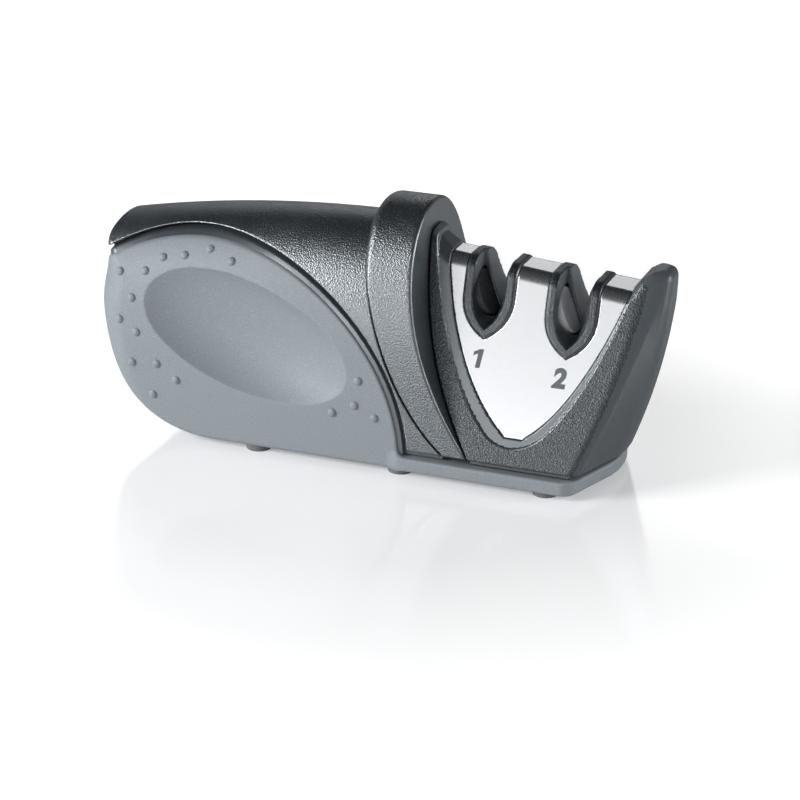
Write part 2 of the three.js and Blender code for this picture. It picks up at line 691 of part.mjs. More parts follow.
addMesh("handle_shell", handleShell(), "grey");
addMesh("top_cover", topCover(), "black");
addMesh("collar", collar(), "black");
addMesh("head_housing", headHousing(), "black");
addMesh("face_plate", facePlate(), "steel");
SLOT_X.forEach((x, stage) => {
  addMesh(`slot_guide_${stage + 1}`, slotGuide(x), "black");
  [-1, 1].forEach((side, i) => {
    const spot = wheelSpot(x, side);
    const name = WHEEL_NAMES[stage][i];
    const bore = onAxis(spot, PIN_RADIUS + PIN_PLAY, -WHEEL_THICK - GAP, -WHEEL_SKIN, 16);
    addMesh(name, onAxis(spot, WHEEL_RADIUS, -WHEEL_THICK, 0).subtract(bore), WHEEL_LOOKS[stage]);
    const back = WHEEL_THICK + WHEEL_ROOM + BRACKET_BACK;
    addMesh(`${name}_pin`, onAxis(spot, PIN_RADIUS, -back, -WHEEL_SKIN - PIN_PLAY, 16), "pin");
  });
});
footSpots.forEach(([x, y], i) => {
  const foot = round(FOOT_RADIUS, 0, FOOT_PROUD + FOOT_SEAT - GAP, x, y);
  addMesh(`foot_${i + 1}`, foot, "rubber");
});
screwSpots.forEach(([x, y], i) => addMesh(`screw_${i + 1}`, screw(x, y), "pin"));

// The middle of the whole length goes over the origin
const box = new THREE.Box3().setFromObject(assembly);
assembly.position.x = -(box.min.x + box.max.x) / 2;
const object = new THREE.Group();
object.add(assembly);

export default object;
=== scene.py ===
import math
import bpy
import numpy as np
from mathutils import Matrix, Vector


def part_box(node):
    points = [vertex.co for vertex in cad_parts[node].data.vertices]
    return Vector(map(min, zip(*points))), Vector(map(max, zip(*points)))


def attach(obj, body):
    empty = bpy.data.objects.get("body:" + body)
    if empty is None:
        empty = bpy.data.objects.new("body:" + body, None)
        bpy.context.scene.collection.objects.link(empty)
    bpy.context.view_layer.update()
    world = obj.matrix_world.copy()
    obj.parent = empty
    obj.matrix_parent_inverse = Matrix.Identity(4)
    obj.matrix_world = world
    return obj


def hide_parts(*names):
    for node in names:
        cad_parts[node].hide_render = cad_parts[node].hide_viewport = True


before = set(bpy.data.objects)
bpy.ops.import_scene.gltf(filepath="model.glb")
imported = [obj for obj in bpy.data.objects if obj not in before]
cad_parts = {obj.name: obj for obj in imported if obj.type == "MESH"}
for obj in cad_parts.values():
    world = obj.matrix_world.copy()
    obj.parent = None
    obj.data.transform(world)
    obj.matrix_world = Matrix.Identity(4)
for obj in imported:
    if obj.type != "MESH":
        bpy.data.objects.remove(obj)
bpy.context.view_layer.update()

# Sizes in millimetres. x runs from the handle to the head, and z is the height over the table.
MM = 0.001
GAP = 0.35

BODY_HALF_WIDTH = 25
BODY_TOP = 66.6
CROWN_RADIUS = 385
ARCH_POWER = 4.4
END_X = -45
END_Z = 40
END_LENGTH = 37.3
END_RISE = 68
FOOT_PROUD = 1.5
BOTTOM_EDGE = 1.2
END_TOP_EDGE = 1
END_CORNER = 12
CORNER_ACROSS = (4, 14)
CORNER_FADE = (44, 56)
EDGE_RISE = (4, 34)

SPLIT_X = -47
SPLIT_Z = 4
SPLIT_LENGTH = 59
SPLIT_RISE = 54
SPLIT_GROOVE = 2.4
GROOVE_DEPTH = 0.7
GROOVE_FALL = 1.3
GROOVE_FALL_OVER = (1.1, 1.9)
SPLIT_EDGE = 0.7
COVER_LAP = 0.8
COVER_FILLET = 0.25
COVER_END_EDGE = 0.3
LOWER_EDGE = 0.4

STRIP_HALF_WIDTH = 25.85
STRIP_TOP = 5.5
STRIP_START = 14
STRIP_RAMP = 8
STRIP_CORNER = 3
STRIP_END_INSET = 1.5
STRIP_SINK = 4
STRIP_EDGE = 0.8
STRIP_FILLET = 2.5
HEAD_PLINTH = 7.5
PLINTH_INSET = 2.4

COLLAR_TOP = 72.4
COLLAR_HALF_WIDTH = 25.2
COLLAR_EDGE = 0.8
COLLAR_SOFTER = 2.2
COLLAR_SOFTENS = (50, 68)
COLLAR_RIGHT_EDGE = 1.0
COLLAR_LEFT = ((-1.2, BODY_TOP), (1.5, 50), (8, 22), (25, HEAD_PLINTH))
COLLAR_RIGHT = ((13.7, COLLAR_TOP), (13.5, 46), (18, 28), (32, HEAD_PLINTH))

FACE_TOP = 59.4
FACE_HALF_TOP = 5.9
FACE_LEAN = 0.352
FRAME_PROUD = 1.2
LIP_PROUD = 0.5
TOP_FALL = 0.0925
BEND_RADIUS = 3
PLATE_LEFT = 20
PLATE_RIGHT = 71.2
PLATE_THICK = 0.8
PLATE_EDGE = 0.15
SEAT_PLAY = 0.15
SEAT_BACK_PLAY = 0.1
TONGUE_LEFT = ((PLATE_LEFT, FACE_TOP), (21.5, 47), (27, 27), (40.5, 15.6))
TONGUE_RIGHT = ((47.8, 15.6), (58.5, 23), (67.5, 43), (PLATE_RIGHT, 54.66))
TONGUE_TIP = 14.6
TIP_INSET = 1
LIP_LEFT = ((15.9, 63), (18.8, 46.5), (24.5, 26.5), (36.5, 14.7))
LIP_TIP = ((36.5, 14.7), (41, 11.2), (47, 11.6), (52, 16))
LIP_RIGHT = ((52, 16), (58.5, 22), (66, 36), (71.6, 54.6))
LEDGE_TOP = 65.2
LEDGE_REACH = 1
LEDGE_END_RISE = 1.5
SHOULDER_TOP = 64
CREST = 60.66
POST = ((70.9, 55.1), (73.4, 58.6), (76.4, 60.5), (79.5, 61))
# Foot, run and bulge of the lines of the head's end, as end_at takes them
CORNER = (63, 14.8, 1.9)
FACET = (70.3, 11.3, 2.3)
FACET_HALF = 5
FACET_EDGE = 1.2
# Turns a run along x into a distance from the leaning end
FACET_SLOPE = 0.96
HEAD_CORNER = 2.8
ROOF_EDGE = 3.2
STEP_EDGE = 0.35
HEAD_FOOT_EDGE = 0.6
COLLAR_SIDE_EDGE = 0.4
PLINTH_RISE = 1.65
HEAD_WALL = 1.4
END_WALL = 2.2
COLLAR_SIDE_WALL = 2.5
HOLLOW_BOTTOM = 4

SLOT_X = (32.4, 56)
SLOT_HALF = 7.4
SLOT_DEPTH = 19.7
SLOT_STRAIGHT = 8.5
MOUTH_HALF = 4.8
MOUTH_DEPTH = 17
MOUTH_STRAIGHT = 7
GUIDE_PROUD = 0.6
GUIDE_RIM = 0.9
GUIDE_PLAY = 0.12
MOUTH_EDGE = 0.3

WHEEL_RADIUS = 6.5
WHEEL_THICK = 3
WHEEL_TILT = math.radians(20)
WHEEL_DEPTH = 10.3
WHEEL_SIDE = 0.7
WHEEL_MEET = 0.7
WHEEL_ROOM = 0.5
WHEEL_VIEW = 9
WHEEL_EDGE = 0.35
HUB_BACK = 1.6
HUB_RIM = 2.0
HUB_FLOOR = 1.7
HUB_DEPTH = 0.12
HOLDER_RIM = 1.6
HOLDER_HALF = 1
HOLDER_SET_BACK = 3
GUARD_START = 1.3
GUARD_PROUD = 1.1
GUARD_HALF = 4.1
GUARD_BEND = 2.5
GUARD_EDGE = 0.2
LEAD_IN = 0.42

SCOOP_X = -34.2
SCOOP_Z = 33.5
SCOOP_LENGTH = 32
SCOOP_RISE = 15.5
SCOOP_DEPTH = 8.5
SCOOP_TILT = math.radians(16)
SCOOP_SOFT = 0.012

# How near to a surface the middle of a mesh face lies when it counts as part of it
ON_SURFACE = 0.5
ON_LIP = 0.3
ON_RIM = 0.2

FAR = 150
# The drawing's x of the left tip is END_X - END_LENGTH; the frame says where that tip is
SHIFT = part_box("handle_shell")[0].x / MM - (END_X - END_LENGTH)


# Signed distances: negative inside, zero on the surface
def meet(a, b, radius):
    """Both shapes' common part, its edge rounded."""
    inner = np.minimum(np.maximum(a, b), -radius)
    return inner + np.hypot(np.maximum(a + radius, 0), np.maximum(b + radius, 0))


def join(a, b, radius):
    """Both shapes together, with a fillet in the corner between them."""
    outer = np.maximum(np.minimum(a, b), radius)
    return outer - np.hypot(np.maximum(radius - a, 0), np.maximum(radius - b, 0))


def ease(low, high, value):
    share = np.clip((value - low) / (high - low), 0, 1)
    return share * share * (3 - 2 * share)


def bezier(ends, steps=20):
    t = np.linspace(0, 1, steps + 1)[:, None]
    a, b, c, d = (np.array(p, float) for p in ends)
    return (1 - t) ** 3 * a + 3 * (1 - t) ** 2 * t * b + 3 * (1 - t) * t * t * c + t ** 3 * d


def inside_outline(u, v, points):
    """Signed distance to a closed flat outline, negative inside."""
    nearest = np.full(np.broadcast(u, v).shape, np.inf)
    within = np.zeros(nearest.shape, bool)
    for (ua, va), (ub, vb) in zip(points, np.roll(points, -1, axis=0)):
        du, dv = ub - ua, vb - va
        share = np.clip(((u - ua) * du + (v - va) * dv) / (du * du + dv * dv + 1e-12), 0, 1)
        nearest = np.minimum(nearest, (u - ua - share * du) ** 2 + (v - va - share * dv) ** 2)
        if va != vb:
            crosses = ((v >= va) != (v >= vb)) & (u < ua + (v - va) * du / dv)
            within = within ^ crosses
    return np.where(within, -1, 1) * np.sqrt(nearest)


def arch(y, z, half_width, height):
    up = np.maximum(z, 0)
    level = (y / half_width) ** 2 + (up / height) ** ARCH_POWER - 1
    rise = ARCH_POWER * up ** (ARCH_POWER - 1) / height ** ARCH_POWER
    return level / np.maximum(np.hypot(2 * y / half_width ** 2, rise), 0.05)


# Handle
def top_line(x):
    return BODY_TOP - CROWN_RADIUS + np.sqrt(CROWN_RADIUS ** 2 - np.minimum(x, 0) ** 2)


def handle_side_view(x, z):
    run = np.minimum(x - END_X, 0)
    half = np.where(z < END_Z, END_Z - FOOT_PROUD, END_RISE)
    level = (run / END_LENGTH) ** 2 + ((z - END_Z) / half) ** 2 - 1
    slope = 2 * np.hypot(run / END_LENGTH ** 2, (z - END_Z) / half ** 2)
    return level / np.maximum(slope, 0.02)


def handle_body(x, y, z):
    """Arch and side view together; the end's corners are round at mid height and sharp at the top."""
    corner = ease(*CORNER_ACROSS, np.abs(y)) * (1 - ease(*CORNER_FADE, z))
    end_edge = END_TOP_EDGE + corner * (END_CORNER - END_TOP_EDGE)
    radius = BOTTOM_EDGE + ease(*EDGE_RISE, z) * (end_edge - BOTTOM_EDGE)
    return meet(arch(y, z, BODY_HALF_WIDTH, top_line(x)), handle_side_view(x, z), radius)


def under_split(x, z, grow):
    up = np.maximum(z - SPLIT_Z, 0)
    length, rise = SPLIT_LENGTH + grow, SPLIT_RISE + grow
    level = ((x - SPLIT_X) / length) ** 2 + (up / rise) ** 2 - 1
    return level / np.maximum(2 * np.hypot((x - SPLIT_X) / length ** 2, up / rise ** 2), 0.01)


def scoop_depth(x, z):
    dx, dz = x - SCOOP_X, z - SCOOP_Z
    along = dx * math.cos(SCOOP_TILT) - dz * math.sin(SCOOP_TILT)
    across = dx * math.sin(SCOOP_TILT) + dz * math.cos(SCOOP_TILT)
    level = 1 - (along / SCOOP_LENGTH) ** 2 - (across / SCOOP_RISE) ** 2
    return SCOOP_DEPTH * (level + np.sqrt(level ** 2 + SCOOP_SOFT ** 2)) / 2


def faceted_end(x, y, corner, facet, half):
    """Distance to an end of three facets: one in the middle, and two that run back to the corners."""
    narrow = np.minimum(FACET_HALF, half / 2)
    back, across = facet - corner, half - narrow
    side = ((x - facet) * across + (np.abs(y) - narrow) * back) / np.hypot(across, back)
    return meet((x - facet) * FACET_SLOPE, side, FACET_EDGE)


def base_strip(x, y, z):
    ramp = ease(STRIP_START - STRIP_RAMP, STRIP_START, x)
    side = np.abs(y) - (STRIP_HALF_WIDTH - STRIP_SINK + STRIP_SINK * ramp)
    corner, facet = CORNER[0] - STRIP_END_INSET, FACET[0] - STRIP_END_INSET
    end = faceted_end(x, y, corner, facet, STRIP_HALF_WIDTH)
    plan = np.maximum(meet(side, end, STRIP_CORNER), STRIP_START - STRIP_RAMP - x)
    middle = (FOOT_PROUD + STRIP_TOP) / 2
    return meet(plan, np.abs(z - middle) - (STRIP_TOP - middle), STRIP_EDGE)


def handle_shell(x, y, z):
    side = handle_body(x, y, z) + scoop_depth(x, z)
    sides = meet(side, under_split(x, z, 0), SPLIT_EDGE)
    return join(sides, base_strip(x, y, z), STRIP_FILLET)


def top_cover(x, y, z):
    hand = handle_body(x, y, z)
    skin = meet(hand, -under_split(x, z, SPLIT_GROOVE), SPLIT_EDGE)
    skin = meet(skin, HEAD_PLINTH - z, LOWER_EDGE)
    floor = hand + GROOVE_DEPTH + GROOVE_FALL * ease(*GROOVE_FALL_OVER, under_split(x, z, 0))
    lip = np.maximum(floor, np.maximum(-under_split(x, z, -COVER_LAP), STRIP_TOP + GAP - z))
    whole = join(skin, lip, COVER_FILLET)
    return meet(whole, -right_of(COLLAR_LEFT, x + GAP, z), COVER_END_EDGE)


# Collar
def right_of(edge, x, z):
    """Negative to the right of a swept edge that runs from the top down."""
    curve = bezier(edge)
    start, end = curve[0], curve[-1]
    corners = [(FAR, FAR), (start[0], FAR), *curve, (end[0], -FAR), (FAR, -FAR)]
    return inside_outline(x, z, np.array(corners))


def collar(x, y, z):
    left_edge = COLLAR_EDGE + COLLAR_SOFTER * ease(*COLLAR_SOFTENS, z)
    band = meet(arch(y, z, COLLAR_HALF_WIDTH, COLLAR_TOP), right_of(COLLAR_LEFT, x, z), left_edge)
    band = meet(band, -right_of(COLLAR_RIGHT, x, z), COLLAR_RIGHT_EDGE)
    return meet(band, HEAD_PLINTH - z, LOWER_EDGE)


# Head
def top_at(x):
    return FACE_TOP - TOP_FALL * (x - PLATE_LEFT)


def face(y, z, proud):
    half = FACE_HALF_TOP + proud + (FACE_TOP - z) * FACE_LEAN
    return (np.abs(y) - half) / math.hypot(1, FACE_LEAN)


def steel_roof(x, z):
    """Negative under the steel's top line and the shoulder to its left."""
    corners = [
        (0, -FAR), (FAR, -FAR), (FAR, top_at(FAR)), (PLATE_LEFT - GAP, FACE_TOP),
        (COLLAR_RIGHT[0][0], SHOULDER_TOP), (0, SHOULDER_TOP),
    ]
    return inside_outline(x, z, np.array(corners))


def frame_roof(x, z):
    """Negative under the plastic frame's top: ledge by the collar, end post on the right."""
    corners = [
        (0, -FAR), (FAR, -FAR), (FAR, POST[-1][1]), *POST[::-1],
        (PLATE_LEFT, FACE_TOP + LEDGE_END_RISE),
        (COLLAR_RIGHT[0][0] + LEDGE_REACH, LEDGE_TOP), (0, LEDGE_TOP),
    ]
    return inside_outline(x, z, np.array(corners))


def wedge(x, y, z, proud):
    """The leaning faces and top that the steel follows, out by proud."""
    return meet(face(y, z, proud), steel_roof(x, z) - proud, BEND_RADIUS + proud)


def tongue(x, z, grow):
    left, right = bezier(TONGUE_LEFT), bezier(TONGUE_RIGHT)
    tip = [(TONGUE_LEFT[3][0] + TIP_INSET, TONGUE_TIP), (TONGUE_RIGHT[0][0] - TIP_INSET, TONGUE_TIP)]
    corners = [(PLATE_LEFT, FAR), *left, *tip, *right, (PLATE_RIGHT, FAR)]
    return inside_outline(x, z, np.array(corners)) - grow


def lip_outline(x, z):
    left, tip, right = bezier(LIP_LEFT), bezier(LIP_TIP), bezier(LIP_RIGHT)
    corners = [(LIP_LEFT[0][0], FAR), *left, *tip[1:-1], *right, (LIP_RIGHT[3][0], FAR)]
    return inside_outline(x, z, np.array(corners))


def slot(x, z, middle, half, depth, straight):
    top = top_at(middle)
    bend = (straight + 2 * depth) / 3
    t = np.linspace(0, 1, 13)[:, None]
    side, pull, point = np.array([[half, -straight], [half, -bend], [0, -depth]], float)
    curve = (1 - t) ** 2 * side + 2 * t * (1 - t) * pull + t * t * point
    mirrored = curve[::-1][1:] * (-1, 1)
    corners = np.concatenate([[(half, FAR)], curve, mirrored, [(-half, FAR)]]) + (middle, top)
    return inside_outline(x, z, corners)


def wide_slot(x, z, middle, grow=0):
    return slot(x, z, middle, SLOT_HALF, SLOT_DEPTH, SLOT_STRAIGHT) - grow


def mouth(x, z, middle):
    return slot(x, z, middle, MOUTH_HALF, MOUTH_DEPTH, MOUTH_STRAIGHT)


def end_at(z, foot, run, bulge):
    """x of a line of the head's end at height z: it runs out on the way up, and bulges."""
    share = (z - HEAD_PLINTH) / (CREST - HEAD_PLINTH)
    return foot + run * share + 4 * bulge * share * (1 - share)


def head_housing(x, y, z):
    half = np.maximum(FACE_HALF_TOP + FRAME_PROUD + (FACE_TOP - z) * FACE_LEAN, FACET_HALF)
    end = faceted_end(x, y, end_at(z, *CORNER), end_at(z, *FACET), half)
    shape = meet(end, frame_roof(x, z), ROOF_EDGE)
    shape = meet(shape, face(y, z, FRAME_PROUD), HEAD_CORNER)
    step = np.maximum(lip_outline(x, z), -wedge(x, y, z, LIP_PROUD))
    shape = meet(shape, -step, STEP_EDGE)
    seat = np.maximum(tongue(x, z, SEAT_PLAY), -wedge(x, y, z, -PLATE_THICK - SEAT_BACK_PLAY))
    shape = np.maximum(shape, -seat)
    shape = meet(shape, HEAD_PLINTH - z, HEAD_FOOT_EDGE)
    plinth_side = face(y, z, FRAME_PROUD - PLINTH_INSET)
    plinth = np.maximum(plinth_side, np.abs(z - HEAD_PLINTH) - PLINTH_RISE)
    shape = np.minimum(shape, np.maximum(plinth, end + PLINTH_INSET))
    hollow = wedge(x, y, z, -PLATE_THICK - HEAD_WALL)
    hollow = np.maximum(hollow, np.maximum(end + END_WALL, HOLLOW_BOTTOM - z))
    hollow = np.maximum(hollow, right_of(COLLAR_RIGHT, x - COLLAR_SIDE_WALL, z))
    shape = np.maximum(shape, -hollow)
    for middle in SLOT_X:
        shape = np.maximum(shape, -wide_slot(x, z, middle))
    return meet(shape, right_of(COLLAR_RIGHT, x - GAP, z), COLLAR_SIDE_EDGE)


def face_plate(x, y, z):
    sheet = np.maximum(wedge(x, y, z, 0), -wedge(x, y, z, -PLATE_THICK))
    outline = tongue(x, z, 0)
    for middle in SLOT_X:
        outline = np.maximum(outline, -wide_slot(x, z, middle))
    return meet(sheet, outline, PLATE_EDGE)


# Wheels and their guides
def wheel_spot(middle, side):
    """Centre of a wheel's face and its axis: side -1 is the left wheel, 1 the right one."""
    offset = WHEEL_RADIUS * math.sin(WHEEL_TILT) + WHEEL_MEET
    centre = Vector((middle + side * offset, side * WHEEL_SIDE, top_at(middle) - WHEEL_DEPTH))
    axis = Vector((-side * math.cos(WHEEL_TILT), 0, math.sin(WHEEL_TILT)))
    return centre, axis


def slot_guide(middle):
    def field(x, y, z):
        outer = meet(wide_slot(x, z, middle, -GUIDE_PLAY), wedge(x, y, z, GUIDE_PROUD), GUIDE_RIM)
        liner = meet(outer, -mouth(x, z, middle), MOUTH_EDGE)
        rooms, guards = [], []
        for side in (-1, 1):
            centre, axis = wheel_spot(middle, side)
            dx, dy, dz = x - centre.x, y - centre.y, z - centre.z
            depth = dx * axis.x + dz * axis.z
            radius = np.sqrt(np.maximum(dx * dx + dy * dy + dz * dz - depth * depth, 0))
            back = -WHEEL_THICK - WHEEL_ROOM
            round_room = np.maximum(radius - WHEEL_RADIUS - WHEEL_ROOM, back - depth)
            plate = np.abs(depth - back + HOLDER_HALF) - HOLDER_HALF
            holder = np.maximum(radius - WHEEL_RADIUS - HOLDER_RIM, plate)
            liner = np.minimum(liner, np.maximum(holder, wedge(x, y, z, -HOLDER_SET_BACK)))
            view = np.maximum(depth - WHEEL_VIEW, -side * (x - middle))
            liner = np.maximum(liner, -np.maximum(round_room, view))
            rooms.append(np.maximum(round_room, depth - GAP))
            beside = np.maximum(GUARD_START + side * y, GAP / 2 - side * (x - middle))
            wall = join(depth - GUARD_PROUD, GUARD_HALF - side * (x - middle), GUARD_BEND)
            guards.append(np.maximum(meet(wall, beside, GUARD_EDGE), outer))
        lead = LEAD_IN * np.maximum(-wedge(x, y, z, GUIDE_PROUD), 0)
        flared = np.maximum(guards[1], -mouth(x + lead, z + lead, middle))
        liner = np.minimum(liner, np.minimum(guards[0], flared))
        return np.maximum(liner, -np.minimum(*rooms))

    return field


# Meshes from the distances
CORNERS = np.array([(i, j, k) for i in (0, 1) for j in (0, 1) for k in (0, 1)])
LEAST_SLOPE = 0.3
MOST_MOVE = 0.3
SHARP_ANGLE = math.radians(40)


def surface_net(field, low, high, step):
    """Points and quads on a field's zero level, sampled on a grid."""
    low = np.array(low, float)
    counts = np.ceil((np.array(high) - low) / step).astype(int) + 1
    xs, ys, zs = (low[i] + step * np.arange(counts[i]) for i in range(3))
    value = np.broadcast_to(field(xs[:, None, None], ys[None, :, None], zs[None, None, :]), counts)
    inside = value < 0
    full = sum(
        inside[i:counts[0] - 1 + i, j:counts[1] - 1 + j, k:counts[2] - 1 + k].astype(np.int8)
        for i, j, k in CORNERS
    )
    active = (full > 0) & (full < 8)
    cells = np.argwhere(active)
    at = np.stack([value[tuple((cells + c).T)] for c in CORNERS], 1)
    total, hits = np.zeros((len(cells), 3)), np.zeros(len(cells))
    for a in range(8):
        for axis, bit in enumerate((4, 2, 1)):
            if a & bit:
                continue
            first, second = at[:, a], at[:, a | bit]
            cross = (first < 0) != (second < 0)
            point = np.tile(CORNERS[a].astype(float), (len(cells), 1))
            point[:, axis] += np.where(cross, first / np.where(cross, first - second, 1), 0)
            total += point * cross[:, None]
            hits += cross
    points = low + step * (cells + total / hits[:, None])
    index = np.full(active.shape, -1)
    index[active] = np.arange(len(cells))
    quads = []
    for axis in range(3):
        start = tuple(slice(0, -1) if i == axis else slice(1, -1) for i in range(3))
        end = tuple(slice(1, None) if i == axis else slice(1, -1) for i in range(3))
        edges = np.argwhere(inside[start] != inside[end])
        leaving = inside[start][tuple(edges.T)]
        edges = edges + np.array([int(i != axis) for i in range(3)])
        u, w = np.eye(3, dtype=int)[(axis + 1) % 3], np.eye(3, dtype=int)[(axis + 2) % 3]
        around = [edges - u - w, edges - w, edges, edges - u]
        ring = np.stack([index[tuple(cell.T)] for cell in around], 1)
        ring[~leaving] = ring[~leaving][:, ::-1]
        quads.append(ring)
    return points, np.concatenate(quads)


def slope_of(field, points, reach=0.03):
    columns = []
    for axis in range(3):
        ahead, behind = points.copy(), points.copy()
        ahead[:, axis] += reach
        behind[:, axis] -= reach
        columns.append((field(*ahead.T) - field(*behind.T)) / (2 * reach))
    return np.stack(columns, 1)


def settle(field, points, rounds=2):
    """Moves points onto the field's zero level."""
    for _ in range(rounds):
        slope = slope_of(field, points)
        move = field(*points.T) / np.maximum((slope ** 2).sum(1), LEAST_SLOPE)
        points = points - np.clip(move, -MOST_MOVE, MOST_MOVE)[:, None] * slope
    return points


def to_frame(points):
    return (np.asarray(points, float) + (SHIFT, 0, 0)) * MM


def add_object(name, mesh, materials):
    obj = bpy.data.objects.new(name, mesh)
    bpy.context.scene.collection.objects.link(obj)
    for material in materials:
        mesh.materials.append(material)
    return obj


def thinned(mesh, share):
    """A copy of a mesh with fewer faces where it is flat."""
    obj = bpy.data.objects.new("thinning", mesh)
    bpy.context.scene.collection.objects.link(obj)
    thin = obj.modifiers.new("thin", "DECIMATE")
    thin.ratio = share
    made = bpy.data.meshes.new_from_object(obj.evaluated_get(bpy.context.evaluated_depsgraph_get()))
    bpy.data.objects.remove(obj)
    bpy.data.meshes.remove(mesh)
    return made


def mould(name, field, low, high, step, share, materials, pick=None):
    """A moulded piece: mesh of a field, settled on it, with the field's own normals.

    share is the part of the faces that is kept. pick gives each face's material from its centre.
    """
    points, quads = surface_net(field, low, high, step)
    points = settle(field, points)
    mesh = bpy.data.meshes.new(name)
    mesh.from_pydata(points.tolist(), [], quads.tolist())
    if share < 1:
        mesh = thinned(mesh, share)
    mesh.name = name
    points = np.empty(len(mesh.vertices) * 3)
    mesh.vertices.foreach_get("co", points)
    points = settle(field, points.reshape(-1, 3), 1)
    normals = slope_of(field, points)
    normals /= np.maximum(np.linalg.norm(normals, axis=1), 1e-6)[:, None]
    mesh.vertices.foreach_set("co", points.ravel())
    mesh.update()
    mesh.polygons.foreach_set("use_smooth", np.ones(len(mesh.polygons), bool))
    obj = add_object(name, mesh, materials)
    if pick:
        centres = np.empty(len(mesh.polygons) * 3)
        mesh.polygons.foreach_get("center", centres)
        chosen = pick(centres.reshape(-1, 3)).astype(np.int32)
        mesh.polygons.foreach_set("material_index", chosen)
    mesh.normals_split_custom_set_from_vertices(normals)
    mesh.vertices.foreach_set("co", to_frame(points).ravel())
    mesh.update()
    return obj


def lathe(profile, centre, axis, sides=64):
    """Points and faces of a profile of (radius, height) turned round an axis."""
    axis = Vector(axis).normalized()
    turn = Vector((0, 0, 1)).rotation_difference(axis).to_matrix()
    points, faces = [], []
    for radius, height in profile:
        for i in range(sides):
            angle = 2 * math.pi * i / sides
            local = Vector((radius * math.cos(angle), radius * math.sin(angle), height))
            points.append(turn @ local + Vector(centre))
    for ring in range(len(profile) - 1):
        for i in range(sides):
            after = (i + 1) % sides
            low, high = ring * sides, (ring + 1) * sides
            faces.append((low + i, low + after, high + after, high + i))
    last = (len(profile) - 1) * sides
    faces.append(tuple(range(sides))[::-1])
    faces.append(tuple(last + i for i in range(sides)))
    return [tuple(p) for p in points], faces


def turned(name, shapes, materials):
    """One piece from several turned shapes."""
    points, faces = [], []
    for more_points, more_faces in shapes:
        start = len(points)
        points += more_points
        faces += [tuple(start + i for i in face_) for face_ in more_faces]
    mesh = bpy.data.meshes.new(name)
    mesh.from_pydata(to_frame(points).tolist(), [], faces)
    mesh.update()
    mesh.polygons.foreach_set("use_smooth", np.ones(len(mesh.polygons), bool))
    mesh.set_sharp_from_angle(angle=SHARP_ANGLE)
    return add_object(name, mesh, materials)


# Materials. Bump reaches are in metres.
HAND_PATCHES = 60
GRAIN_REACH = 0.0002
LINE_REACH = 0.00005
LINE_DEPTH = 0.08
SHEEN_TINT = (0.9, 0.96, 1, 1)


def node(tree, kind, values=None, **settings):
    made = tree.nodes.new(kind)
    for key, value in settings.items():
        setattr(made, key, value)
    for key, value in (values or {}).items():
        made.inputs[key].default_value = value
    return made


def grain_group():
    """Spark-eroded moulding texture: Height for a bump, and a share for the tops of the grains, which
    the materials colour lighter: partly the grain's own tone, partly a painted glint.
    """
    tree = bpy.data.node_groups.new("spark_grain", "ShaderNodeTree")
    tree.interface.new_socket("Grains", in_out="INPUT", socket_type="NodeSocketFloat")
    tree.interface.new_socket("Height", in_out="OUTPUT", socket_type="NodeSocketFloat")
    tree.interface.new_socket("Fleck_and_glint", in_out="OUTPUT", socket_type="NodeSocketFloat")
    given, out = node(tree, "NodeGroupInput"), node(tree, "NodeGroupOutput")
    place = node(tree, "ShaderNodeTexCoord")
    noise = node(tree, "ShaderNodeTexNoise", {"Detail": 2.5, "Roughness": 0.6})
    cells = node(tree, "ShaderNodeTexVoronoi", feature="SMOOTH_F1")
    finer = node(tree, "ShaderNodeMath", {1: 1.4}, operation="MULTIPLY")
    both = node(tree, "ShaderNodeMath", operation="ADD")
    fleck_and_glint = node(tree, "ShaderNodeMapRange", {"From Min": 0.5, "From Max": 0.72})
    tree.links.new(place.outputs["Object"], noise.inputs["Vector"])
    tree.links.new(place.outputs["Object"], cells.inputs["Vector"])
    tree.links.new(given.outputs["Grains"], noise.inputs["Scale"])
    tree.links.new(given.outputs["Grains"], finer.inputs[0])
    tree.links.new(finer.outputs[0], cells.inputs["Scale"])
    tree.links.new(noise.outputs["Fac"], both.inputs[0])
    tree.links.new(cells.outputs["Distance"], both.inputs[1])
    tree.links.new(both.outputs[0], out.inputs["Height"])
    tree.links.new(noise.outputs["Fac"], fleck_and_glint.inputs["Value"])
    tree.links.new(fleck_and_glint.outputs["Result"], out.inputs["Fleck_and_glint"])
    return tree


def handling_group():
    """Slow uneven shine from hands and cleaning: Shine runs from 0 to 1."""
    tree = bpy.data.node_groups.new("handling", "ShaderNodeTree")
    tree.interface.new_socket("Patches", in_out="INPUT", socket_type="NodeSocketFloat")
    tree.interface.new_socket("Shine", in_out="OUTPUT", socket_type="NodeSocketFloat")
    given, out = node(tree, "NodeGroupInput"), node(tree, "NodeGroupOutput")
    place = node(tree, "ShaderNodeTexCoord")
    noise = node(tree, "ShaderNodeTexNoise", {"Detail": 5.0, "Roughness": 0.6, "Distortion": 0.4})
    range_ = node(tree, "ShaderNodeMapRange", {"From Min": 0.3, "From Max": 0.7})
    tree.links.new(place.outputs["Object"], noise.inputs["Vector"])
    tree.links.new(given.outputs["Patches"], noise.inputs["Scale"])
    tree.links.new(noise.outputs["Fac"], range_.inputs["Value"])
    tree.links.new(range_.outputs["Result"], out.inputs["Shine"])
    return tree


def new_material(name):
    material = bpy.data.materials.new(name)
    material.use_nodes = True
    tree = material.node_tree
    return material, tree, tree.nodes["Principled BSDF"]


def place_group(tree, group, **values):
    made = node(tree, "ShaderNodeGroup", node_tree=group)
    for key, value in values.items():
        made.inputs[key].default_value = value
    return made


def blend_colours(tree, share, first, second):
    mix = node(tree, "ShaderNodeMix", data_type="RGBA")
    mix.inputs["A"].default_value = (*first, 1)
    mix.inputs["B"].default_value = (*second, 1)
    tree.links.new(share, mix.inputs["Factor"])
    return mix.outputs["Result"]


